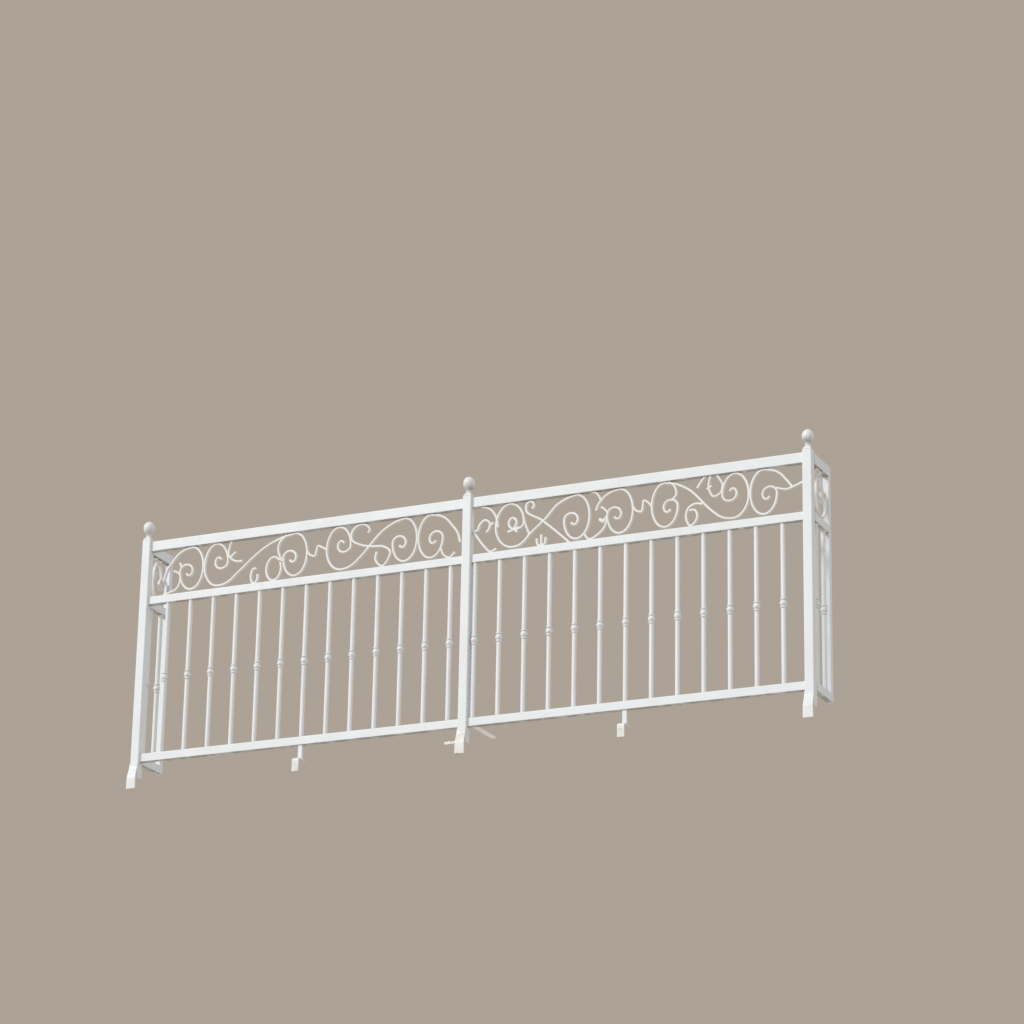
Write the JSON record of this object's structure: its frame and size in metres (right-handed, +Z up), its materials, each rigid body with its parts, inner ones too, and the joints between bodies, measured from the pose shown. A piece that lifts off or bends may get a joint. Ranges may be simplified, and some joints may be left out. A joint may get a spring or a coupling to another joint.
{
  "type": "balcony railing",
  "caption": "White painted steel balcony railing: two front bays of round uprights under a scrollwork frieze, ball-topped posts, and short returns to the wall.",
  "frame": {"origin": "middle of the flat underside of the centre post's foot, where it stands on the ledge", "axes": "+X along the front, to the right seen from outside; +Y back towards the wall; +Z up"},
  "size_m": [3.1506, 0.254, 1.2299],
  "materials": {
    "white_paint": "satin brushed-on paint, slightly dirty and rust-stained at the joints"
  },
  "bodies": {
    "root": {"balusters_left_bay": "white_paint", "balusters_left_return": "white_paint", "balusters_right_bay": "white_paint", "balusters_right_return": "white_paint", "bottom_rail_left_bay": "white_paint", "bottom_rail_left_return": "white_paint", "bottom_rail_right_bay": "white_paint", "bottom_rail_right_return": "white_paint", "finials": "white_paint", "foot_lug": "white_paint", "leg_left_bay": "white_paint", "leg_right_bay": "white_paint", "leg_strap_left_bay": "white_paint", "leg_strap_right_bay": "white_paint", "mid_rail_left_bay": "white_paint", "mid_rail_left_return": "white_paint", "mid_rail_right_bay": "white_paint", "mid_rail_right_return": "white_paint", "post_centre": "white_paint", "post_left": "white_paint", "post_right": "white_paint", "scrollwork_left_bay": "white_paint", "scrollwork_left_return": "white_paint", "scrollwork_right_bay": "white_paint", "scrollwork_right_return": "white_paint", "strap_centre": "white_paint", "strap_left": "white_paint", "strap_right": "white_paint", "top_rail_left_bay": "white_paint", "top_rail_left_return": "white_paint", "top_rail_right_bay": "white_paint", "top_rail_right_return": "white_paint", "wall_bar_left": "white_paint", "wall_bar_right": "white_paint", "wall_tie": "white_paint"}
  },
  "joints": []
}
